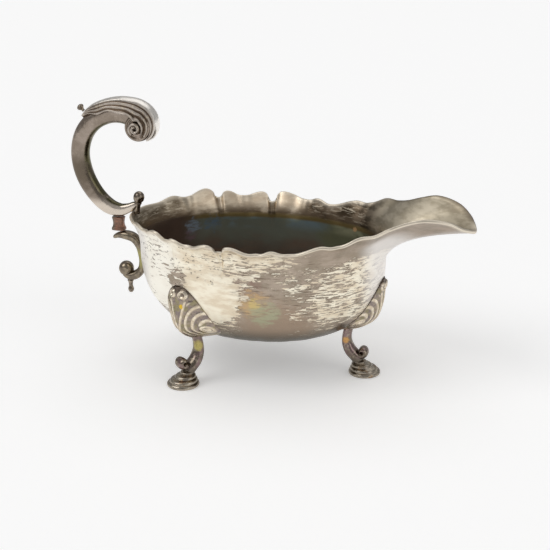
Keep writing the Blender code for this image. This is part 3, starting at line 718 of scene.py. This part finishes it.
# ---------------------------------------------------------------- flying scroll of the handle
# The handle is a cast silver bar, soldered over the rim, that swings out, up and back over the bowl
# and rolls up in a volute.  Its sides are nearly flat and its inner face is a darker, narrower facet.
# Middle and half-depth of the bar, from the rim up.
UPPER_SCROLL = [
    (-63.6, 74.6, 1.3), (-65.9, 73.4, 1.9), (-68.6, 72.0, 2.3), (-73.2, 70.8, 3.1), (-79.0, 72.3, 3.8),
    (-85.2, 77.8, 4.1), (-90.4, 86.8, 4.4), (-92.3, 97.0, 4.4), (-90.1, 106.4, 4.5),
    (-84.7, 113.2, 4.5), (-77.2, 117.2, 4.7), (-69.6, 118.2, 5.2), (-63.0, 116.6, 5.6),
]
SCROLL_WIDTH_RATIO = 0.86
BAR_SIDES = 56
FLAT_SIDED = 2.35
VOLUTE = (-61.1, 112.1)
VOLUTE_RADIUS = 6.3
VOLUTE_HALF_WIDTH = 5.4
VOLUTE_EDGE = 0.9
VOLUTE_SIDES = 96
SPIRAL_PITCH = 2.4
SPIRAL_DEPTH = 0.55
bar_path = smooth_line(UPPER_SCROLL, 14)
ends = rounded(bar_path, 2.0)
bar_width = bar_path[:, 2] * SCROLL_WIDTH_RATIO * ends
bar_path[:, 2] *= ends
bar = tube(bar_path, bar_width, BAR_SIDES, FLAT_SIDED)
facing = np.cos(2 * math.pi * np.arange(BAR_SIDES) / BAR_SIDES) + 0.0 * bar_path[:, :1]
# The roll: a drum whose side faces carry a spiral groove, drawn from one face round to the other.
around = 2 * math.pi * np.arange(VOLUTE_SIDES) / VOLUTE_SIDES
flat_radius = VOLUTE_RADIUS - VOLUTE_EDGE
face_radius = np.linspace(0.3, flat_radius, 22)
bend = np.linspace(0.0, 0.5 * math.pi, 7)[1:]
radius = np.concatenate([face_radius, flat_radius + VOLUTE_EDGE * np.sin(bend)])[:, None]
turned_edge = VOLUTE_HALF_WIDTH - VOLUTE_EDGE * (1.0 - np.cos(bend))
side = np.concatenate([0.0 * face_radius + VOLUTE_HALF_WIDTH, turned_edge])[:, None]
groove = 0.5 - 0.5 * np.cos(around + 2 * math.pi * radius / SPIRAL_PITCH)
side = side - SPIRAL_DEPTH * groove * np.clip((flat_radius - radius) / 0.8, 0.0, 1.0)
far_half = np.stack([VOLUTE[0] + radius * np.cos(around), side, VOLUTE[1] + radius * np.sin(around)], axis=-1)
drum = np.concatenate([far_half * MIRROR, far_half[::-1]])
look = Finish("handle_silver_chased")
cloud = look.noise((0.09, 0.09, 0.09), 4.0, 0.6, 0.3)
worn = look.noise((0.6, 0.6, 0.6), 4.0, 0.6)
colour = look.mixed(cloud, 0.36, 0.64, tone(162, 149, 138), tone(136, 124, 112))
colour = look.blend(look.step(worn, 0.52, 0.72, 0.0, 0.5), colour, tone(176, 163, 148))
# Painted shade: the middle of the bar, between the lower bend and the top, is darkened in mottled patches.
bar_middle_painted_shade = look.times(
    look.step(look.z, 100.0, 92.0), look.step(look.z, 74.5, 79.0), look.step(cloud, 0.3, 0.6, 0.5, 1.0)
)
colour = look.blend(bar_middle_painted_shade, colour, tone(108, 98, 86))
# Painted highlight: the lower bend of the bar, just above the rim, is made pale.
colour = look.mixed(look.z, 77.5, 73.0, colour, tone(212, 200, 186))
broken = look.step(look.noise((0.12, 0.12, 0.12), 3.0, shift=2.0), 0.34, 0.5)
inner_face = look.times(look.step(look.mark("outer_face"), -0.55, -0.85), broken)
colour = look.blend(inner_face, colour, tone(92, 88, 66))
surface = look.dents(look.noise((0.25, 0.25, 0.25), 3.0, 0.5), 0.16)
handle_finish = look.done(colour, look.step(worn, 0.3, 0.7, 0.16, 0.30), surface)
grids = [(bar, {"outer_face": facing}), (drum, {"outer_face": 0.0 * drum[..., 0]})]
add_piece("scroll_bar", grids, handle_finish, "handle_scroll")

# ---------------------------------------------------------------- leaf cap
# An acanthus leaf lies over the top of the scroll like a saddle and rolls down over the volute.
# It was cast in silver and chased: flutes widen from its tip, swirl about the eye of the
# volute and end in a scalloped edge, and its lower edge waves.
# Section middle x and height, direction of its crown in degrees, depth, half-width, half-spread.
LEAF = [
    (-86.6, 111.2, 128.0, 6.2, 4.6, 20.0), (-84.2, 113.6, 122.0, 6.6, 5.2, 50.0),
    (-80.6, 115.8, 113.0, 7.0, 5.9, 72.0), (-75.4, 117.6, 101.0, 7.2, 6.5, 77.0),
    (-69.8, 117.6, 90.0, 8.14, 7.1, 78.0), (-64.6, 114.8, 87.9, 10.64, 7.7, 75.0),
    (-62.6, 112.9, 69.0, 11.5, 8.1, 72.0), (-61.9, 112.1, 40.4, 10.8, 8.2, 70.0),
    (-61.9, 112.0, 6.1, 9.8, 8.1, 69.0), (-61.9, 112.0, -27.1, 9.0, 7.6, 68.0),
    (-61.9, 112.0, -58.0, 8.0, 6.6, 62.0),
]
LEAF_ROWS = 170
LEAF_COLUMNS = 121
LEAF_UNDERSIDE = 0.72
# Flutes are spaced by share of the half-spread, outside a plain strip down the middle.
FLUTE_PITCH = 0.205
FIRST_GROOVE = 0.43
FLUTE_DEPTH = 0.50
# The rolled end is scalloped by the flutes, the lower edge waves but for its last part on the
# volute, and a thin bead runs along it.
END_SCALLOP = 0.035
EDGE_WAVE = 0.045
EDGE_WAVES = 5.5
EDGE_WAVE_STOP = 0.72
EDGE_BEAD = 0.35
# The coil in the eye of the volute, on each side: angles, radii, half-depths and half-width.
EYE = (-61.9, 112.0)
EYE_TURN = (250.0, -310.0)
EYE_RADIUS = (2.9, 0.6)
EYE_DEPTH = (1.0, 0.8)
EYE_HALF_WIDTH = 1.5
EYE_STEPS = 120
across = np.linspace(-1.0, 1.0, LEAF_COLUMNS)
v = np.abs(across)
flutes = -np.cos(2 * math.pi * (v - FIRST_GROOVE) / FLUTE_PITCH)
wave = np.where(v < FIRST_GROOVE - 0.5 * FLUTE_PITCH, 1.0, flutes)
u = np.linspace(0.0, 1.0, LEAF_ROWS)[:, None]
reach_share = u * (1.0 - END_SCALLOP + END_SCALLOP * wave)
dense = smooth_line(LEAF, 24)
at = reach_share * (len(dense) - 1)
stations = np.arange(len(dense))
mid_x, mid_z, crown, depth, wide, spread = (np.interp(at, stations, column) for column in dense.T)
# The flutes start shallow at the leaf's tip and are at full depth a little past its middle.
grown = np.clip(0.25 + 1.2 * u, 0.0, 1.0)
waved = EDGE_WAVE * np.sin(2 * math.pi * EDGE_WAVES * u) * np.clip((EDGE_WAVE_STOP - u) / 0.1, 0.0, 1.0)
arc = np.radians(spread * (1.0 + waved * v**2)) * across
crown = np.radians(crown)
edge_bead = EDGE_BEAD * np.exp(-(((v - 0.97) / 0.05) ** 2))
lift = (FLUTE_DEPTH * (wave - 1.0) + edge_bead) * grown


def leaf_surface(scale, raised):
    """Points on arcs about each section's middle: depth along the crown's direction and
    half-width across it, scaled, with the ornament's height added along the arc's radius."""
    out = (scale * depth + raised) * np.cos(arc)
    over = (scale * wide + raised) * np.sin(arc)
    return np.stack([mid_x + np.cos(crown) * out, over, mid_z + np.sin(crown) * out], axis=-1)


upper_side = leaf_surface(1.0, lift)
under_side = leaf_surface(LEAF_UNDERSIDE, 0.0)
leaf = np.concatenate([upper_side, under_side[:, ::-1]], axis=1)
high = np.clip(0.5 + 0.5 * wave, 0.0, 1.0) + 0.0 * u
middle = np.clip((0.40 - v) / 0.12, 0.0, 1.0) + 0.0 * u
leaf_marks = {"outer_face": np.hstack([high, 0.0 * high]), "middle": np.hstack([middle, 0.0 * high])}
eyes = []
for y_side in (-1.0, 1.0):
    eye_path = spiral(EYE, EYE_TURN, EYE_RADIUS, EYE_DEPTH, EYE_STEPS)
    eye_width = EYE_HALF_WIDTH * rounded(eye_path, 1.0)
    eye_path[:, 2] *= rounded(eye_path, 0.8)
    eye = tube(eye_path, eye_width, 20)
    eye[..., 1] += y_side * (VOLUTE_HALF_WIDTH + np.linspace(0.5, 1.4, EYE_STEPS)[:, None])
    eyes.append((eye, {"outer_face": 1.0 + 0.0 * eye[..., 0], "middle": 0.0 * eye[..., 0]}))
look = Finish("leaf_silver_chased")
cloud = look.noise((0.12, 0.12, 0.12), 4.0, 0.6, 0.3)
worn = look.noise((0.6, 0.6, 0.6), 4.0, 0.6)
colour = look.mixed(cloud, 0.36, 0.64, tone(182, 172, 162), tone(156, 146, 136))
colour = look.mixed(worn, 0.5, 0.66, colour, tone(196, 184, 166))
# Painted highlight: the plain strip down the leaf's crown is made near white.
colour = look.blend(look.mark("middle"), colour, tone(248, 243, 236))
colour = look.mixed(look.mark("outer_face"), 0.45, 0.05, colour, tone(104, 88, 74))
surface = look.dents(look.noise((0.35, 0.35, 0.35), 3.0, 0.5), 0.12)
leaf_finish = look.done(colour, look.step(worn, 0.3, 0.7, 0.24, 0.38), surface)
add_piece("acanthus_leaf", [(leaf, leaf_marks)] + eyes, leaf_finish, "handle_leaf_cap")

# ---------------------------------------------------------------- beads and spur
# Small turned silver drops are pinned to the castings: one at the leaf's tip, one that stands on the rim
# at the foot of the handle, and a spur that hangs under the lower scroll.
# Foot of the stalk, tip, and the profile as (share of the length, radius).
BEADS = {
    "leaf_tip_bead": (
        (-89.5, 117.8), (-92.1, 120.4),
        [(0.0, 0.8), (0.2, 0.7), (0.4, 1.2), (0.6, 1.7), (0.8, 1.55), (0.95, 0.8), (1.0, 0.2)],
    ),
    "rim_bead": (
        (-64.7, 69.6), (-63.0, 80.6),
        [
            (0.0, 1.4), (0.2, 1.2), (0.38, 1.3), (0.46, 1.7), (0.5, 1.6), (0.62, 2.45), (0.75, 2.65),
            (0.87, 2.3), (0.96, 1.3), (1.0, 0.2),
        ],
    ),
    "tail_spur": (
        (-69.3, 35.5), (-69.2, 29.2),
        [(0.0, 1.6), (0.2, 1.1), (0.45, 1.0), (0.7, 1.45), (0.88, 1.2), (0.97, 0.7), (1.0, 0.2)],
    ),
}


def turned(foot_point, tip, profile, sides):
    """A profile of radii spun about the line from a foot to a tip in the x-z plane."""
    line = smooth_line(profile, 6)
    foot_point, tip = np.array(foot_point), np.array(tip)
    axis = tip - foot_point
    square = np.array([-axis[1], axis[0]]) / np.linalg.norm(axis)
    turn = 2 * math.pi * np.arange(sides) / sides
    middle = foot_point + line[:, 0:1] * axis
    x = middle[:, 0:1] + line[:, 1:2] * np.cos(turn) * square[0]
    z = middle[:, 1:2] + line[:, 1:2] * np.cos(turn) * square[1]
    return np.stack([x, line[:, 1:2] * np.sin(turn), z], axis=-1)


look = Finish("bead_silver")
worn = look.noise((0.7, 0.7, 0.7), 4.0, 0.6)
colour = look.mixed(worn, 0.36, 0.64, tone(112, 102, 92), tone(164, 152, 136))
surface = look.dents(look.noise((0.4, 0.4, 0.4), 3.0, 0.5), 0.10)
bead_finish = look.done(colour, look.step(worn, 0.3, 0.7, 0.16, 0.30), surface)
for node, (foot_point, tip, profile) in BEADS.items():
    grid = turned(foot_point, tip, profile, 32)
    add_piece(node + "_drop", [(grid, {})], bead_finish, node)

# ---------------------------------------------------------------- link between the scrolls
# A short pinched block of cast silver joins the flying scroll to the lower one, soldered at both
# ends.  Its solder has gone reddish.  Height and half-depth, from the lower scroll up.
LINK = [(60.9, 3.3), (61.6, 3.35), (62.6, 2.9), (63.8, 2.65), (64.8, 2.65), (66.0, 2.85), (67.1, 3.1)]
LINK_X = -74.2
LINK_WIDTH_RATIO = 0.8
LINK_SQUARENESS = 3.2
path = np.array([(LINK_X, z, radius) for z, radius in smooth_line(LINK, 6)])
block = tube(path, path[:, 2] * LINK_WIDTH_RATIO, 40, LINK_SQUARENESS)
look = Finish("reddened_solder")
worn = look.noise((0.5, 0.5, 0.5), 4.0, 0.6)
colour = look.mixed(worn, 0.38, 0.62, tone(150, 112, 96), tone(120, 98, 86))
colour = look.mixed(look.x, -74.6, -76.4, colour, tone(120, 108, 96))
surface = look.dents(look.noise((0.9, 0.9, 0.9), 4.0, 0.6), 0.2)
link_finish = look.done(colour, look.step(worn, 0.3, 0.7, 0.34, 0.48), surface)
add_piece("link_block", [(block, {})], link_finish, "handle_link")

# ---------------------------------------------------------------- lower scroll
# A cast silver strap is soldered down the end of the bowl as a bracket.  It starts in a small spur
# under the link and curls up below about a ball.  Middle and half-depth of the strap, from the link down.
LOWER_SCROLL = [
    (-77.4, 56.6, 0.8), (-74.6, 58.0, 1.4), (-70.8, 58.4, 2.1), (-66.6, 57.2, 2.1), (-64.1, 53.8, 1.8),
    (-63.2, 49.8, 1.5), (-62.7, 45.8, 1.5), (-63.2, 42.0, 1.8), (-65.8, 38.9, 2.2), (-69.0, 38.0, 2.1),
    (-71.6, 38.9, 1.6), (-72.8, 40.8, 1.0),
]
LOWER_SCROLL_WIDTH_RATIO = 1.35
STRAP_SQUARENESS = 2.5
BALL = (-71.2, 41.4)
BALL_RADIUS = 3.7
BALL_SIDES = 56
# The ball's two sides are pressed in by a share of its radius, over an angle.
BALL_DIMPLE = (0.1, 0.3)
strap_path = smooth_line(LOWER_SCROLL, 12)
ends = rounded(strap_path, 1.4)
strap_width = strap_path[:, 2] * LOWER_SCROLL_WIDTH_RATIO * ends
strap_path[:, 2] *= ends
strap = tube(strap_path, strap_width, 36, STRAP_SQUARENESS)
quarter = 0.5 * math.pi
latitude = np.linspace(0.03 - quarter, quarter - 0.03, 40)[:, None]
around = 2 * math.pi * np.arange(BALL_SIDES) / BALL_SIDES
dimple = 1.0 - BALL_DIMPLE[0] * np.exp(-(((np.abs(latitude) - quarter) / BALL_DIMPLE[1]) ** 2))
ball = np.stack(
    [
        BALL[0] + BALL_RADIUS * np.cos(latitude) * np.cos(around),
        BALL_RADIUS * dimple * np.sin(latitude) + 0.0 * around,
        BALL[1] + BALL_RADIUS * np.cos(latitude) * np.sin(around),
    ],
    axis=-1,
)
look = Finish("bracket_silver")
worn = look.noise((0.5, 0.5, 0.5), 4.0, 0.6)
colour = look.mixed(worn, 0.38, 0.62, tone(148, 136, 118), tone(120, 110, 98))
colour = look.blend(look.spot((-63.6, -1.8, 47.5), 5.0), colour, tone(158, 152, 104))
surface = look.dents(look.noise((0.35, 0.35, 0.35), 3.0, 0.5), 0.12)
bracket_finish = look.done(colour, look.step(worn, 0.3, 0.7, 0.16, 0.30), surface)
add_piece("lower_bracket", [(strap, {}), (ball, {})], bracket_finish, "lower_scroll")

# ---------------------------------------------------------------- floor, light and camera
# A plain pale floor under wide soft lamps, and a long lens from a little above the rim, turned
# towards the lip.
FLOOR_HALF_M = 6.0
FLOOR_GLOW = 0.30
WORLD_LIGHT = 0.36
scene = bpy.context.scene
floor_mesh = bpy.data.meshes.new("floor")
corners = [(FLOOR_HALF_M * x, FLOOR_HALF_M * y, 0.0) for x, y in ((-1, -1), (1, -1), (1, 1), (-1, 1))]
floor_mesh.from_pydata(corners, [], [(0, 1, 2, 3)])
floor = bpy.data.objects.new("floor", floor_mesh)
scene.collection.objects.link(floor)
paper = bpy.data.materials.new("pale_paper")
paper.use_nodes = True
matt = paper.node_tree.nodes["Principled BSDF"].inputs
matt["Base Color"].default_value = (0.9, 0.9, 0.9, 1.0)
matt["Emission Color"].default_value = (1.0, 1.0, 1.0, 1.0)
matt["Emission Strength"].default_value = FLOOR_GLOW
matt["Roughness"].default_value = 0.8
floor_mesh.materials.append(paper)

world = bpy.data.worlds.new("studio")
world.use_nodes = True
world.node_tree.nodes["Background"].inputs["Color"].default_value = (1.0, 1.0, 1.0, 1.0)
world.node_tree.nodes["Background"].inputs["Strength"].default_value = WORLD_LIGHT
scene.world = world
# Name, direction it comes from, spread in degrees and strength of each wide soft lamp.
LAMPS = [
    ("window_side", (-0.8, -0.7, 1.1), 40.0, 0.75),
    ("overhead", (0.1, 0.5, 1.5), 60.0, 0.50),
    ("lip_side", (1.2, -0.5, 0.6), 36.0, 0.3),
]
for name, place, spread, power in LAMPS:
    lamp = bpy.data.lights.new(name, "SUN")
    lamp.angle = math.radians(spread)
    lamp.energy = power
    holder = bpy.data.objects.new(name, lamp)
    holder.rotation_euler = (-Vector(place)).to_track_quat("-Z", "Y").to_euler()
    scene.collection.objects.link(holder)
scene.view_settings.view_transform = "Standard"

# What the camera aims at and how far back it stands, in metres, and the lens in millimetres.
AIM = Vector((0.0036, 0.0, 0.0448))
AZIMUTH = math.radians(15.49)
ELEVATION = math.radians(19.40)
DISTANCE = 0.600
LENS = 83.56
level = math.cos(ELEVATION)
back = Vector((math.sin(AZIMUTH) * level, -math.cos(AZIMUTH) * level, math.sin(ELEVATION)))
lens = bpy.data.cameras.new("camera")
lens.lens = LENS
lens.sensor_width = 36.0
lens.clip_start = 0.01
camera = bpy.data.objects.new("camera", lens)
camera.location = AIM + DISTANCE * back
camera.rotation_euler = (-back).to_track_quat("-Z", "Y").to_euler()
scene.collection.objects.link(camera)
scene.camera = camera
